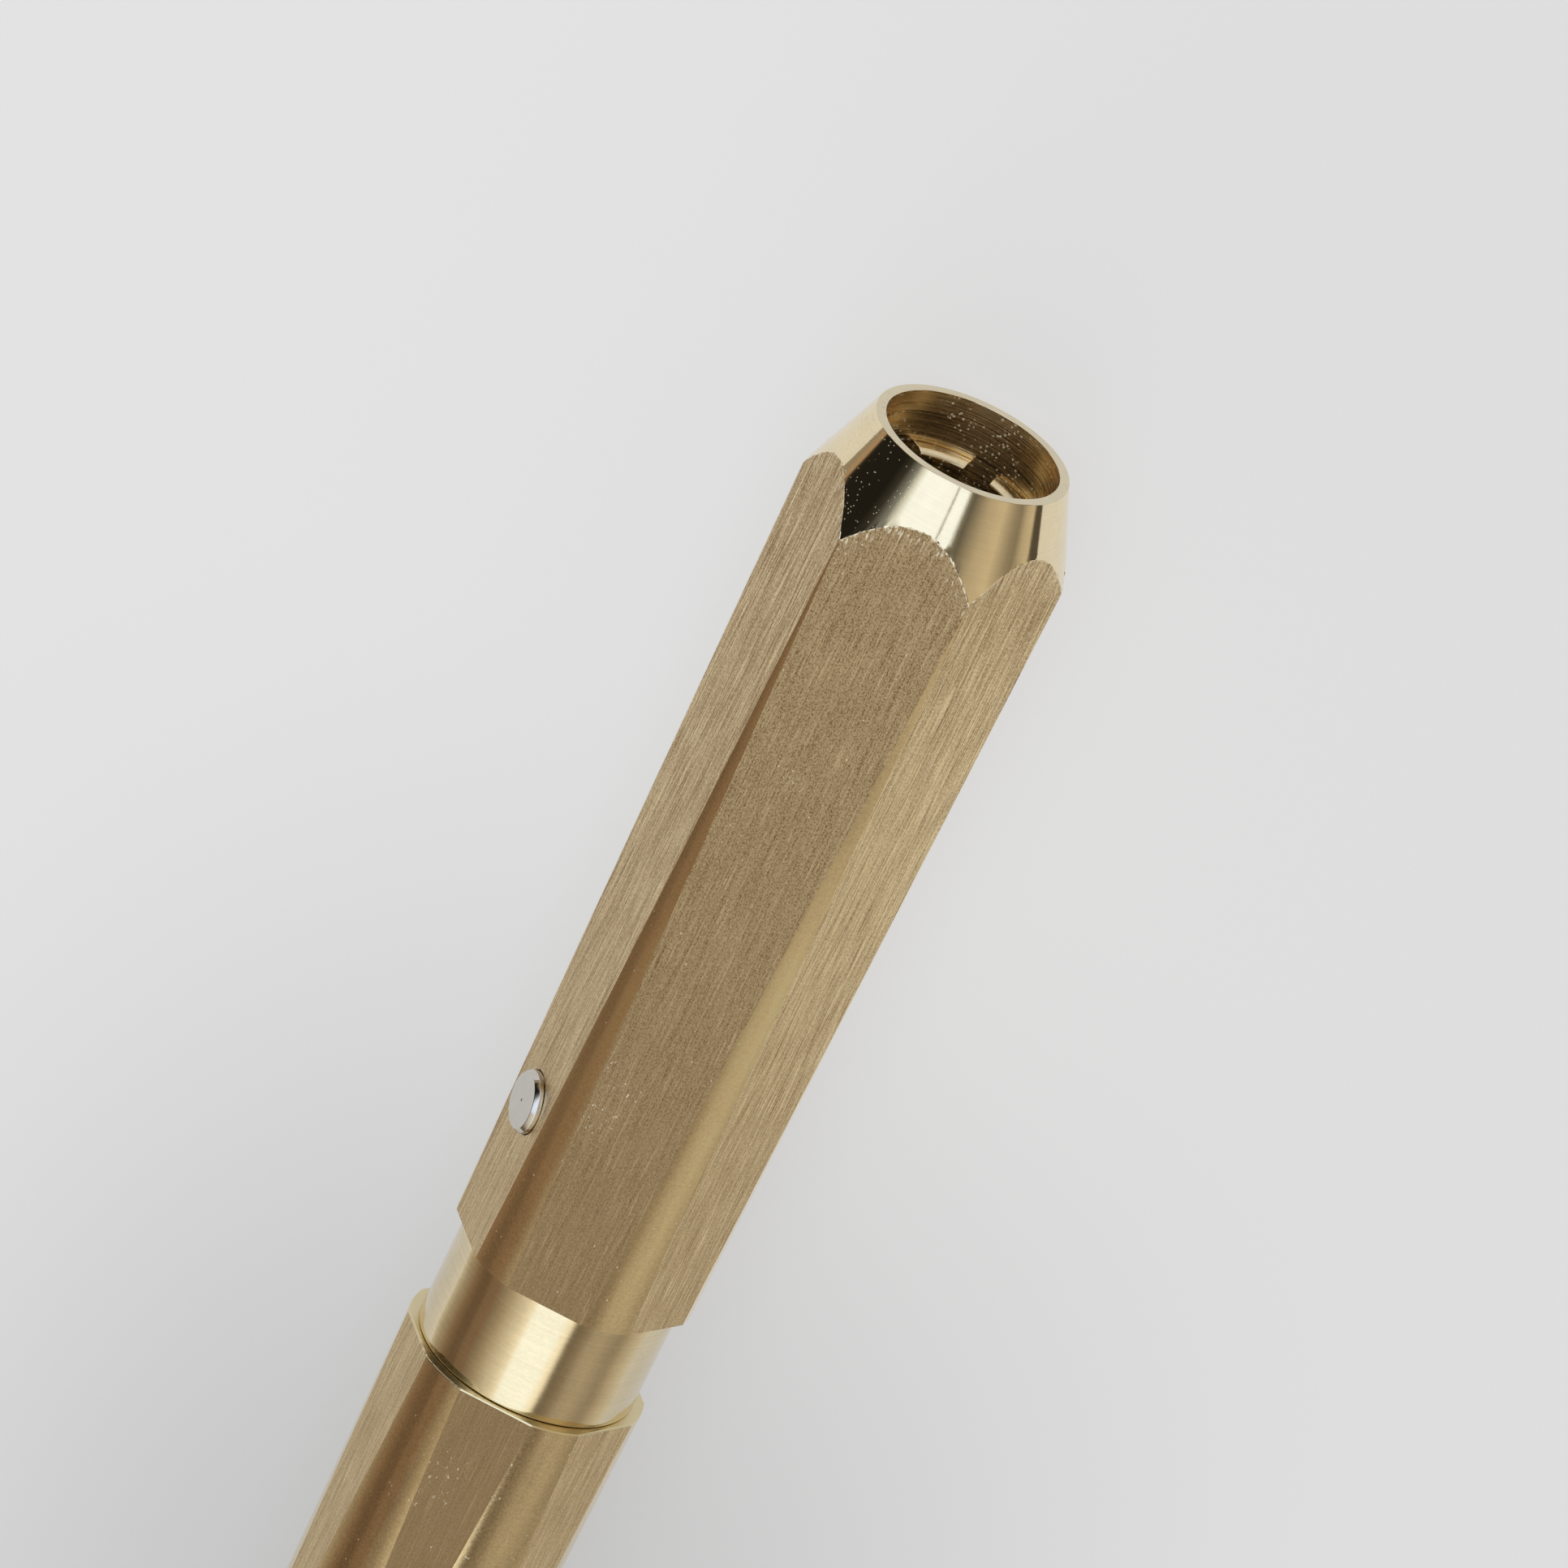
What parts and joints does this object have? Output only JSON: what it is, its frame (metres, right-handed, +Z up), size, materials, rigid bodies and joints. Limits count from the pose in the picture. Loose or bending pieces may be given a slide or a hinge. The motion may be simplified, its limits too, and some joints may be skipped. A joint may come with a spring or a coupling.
{
  "type": "pencil extender",
  "caption": "Brass holder for short pencils: hexagonal barrel with conical nose and slotted collet, side push button, round collar and tapering rear barrel.",
  "frame": {"origin": "centre of the bounding box's bottom, on the flat that the tool lies on", "axes": "+X along the tool towards the mouth, +Z up, square to the flat it lies on; the button is on the upper flat on the +Y side"},
  "size_m": [0.13, 0.0138, 0.012],
  "materials": {
    "brushed_brass": "brushed",
    "turned_brass": "satin",
    "collet_brass": "satin",
    "polished_steel": "polished",
    "spring_steel": "satin"
  },
  "bodies": {
    "barrel": {"nose_barrel": "brushed_brass", "collar": "turned_brass", "rear_barrel": "brushed_brass", "return_spring": "spring_steel"},
    "clutch": {"collet": "collet_brass", "draw_rod": "spring_steel", "spring_washer": "spring_steel", "spring_nut": "spring_steel"},
    "push_button": {"button": "polished_steel"}
  },
  "joints": [
    {"name": "collet_advance", "type": "slide", "parent": "barrel", "child": "clutch", "axis": [1, 0, 0], "range_m": [0, 0.0017], "stiffness_N_per_m": 600, "springref_m": -0.006, "deforming": ["return_spring"]},
    {"name": "button_press", "type": "slide", "parent": "barrel", "child": "push_button", "axis": [0, -0.866, -0.5], "range_m": [0, 0.0008]}
  ],
  "couplings": [
    {"joint": "button_press", "follows": "collet_advance", "ratio": 0.46631}
  ]
}
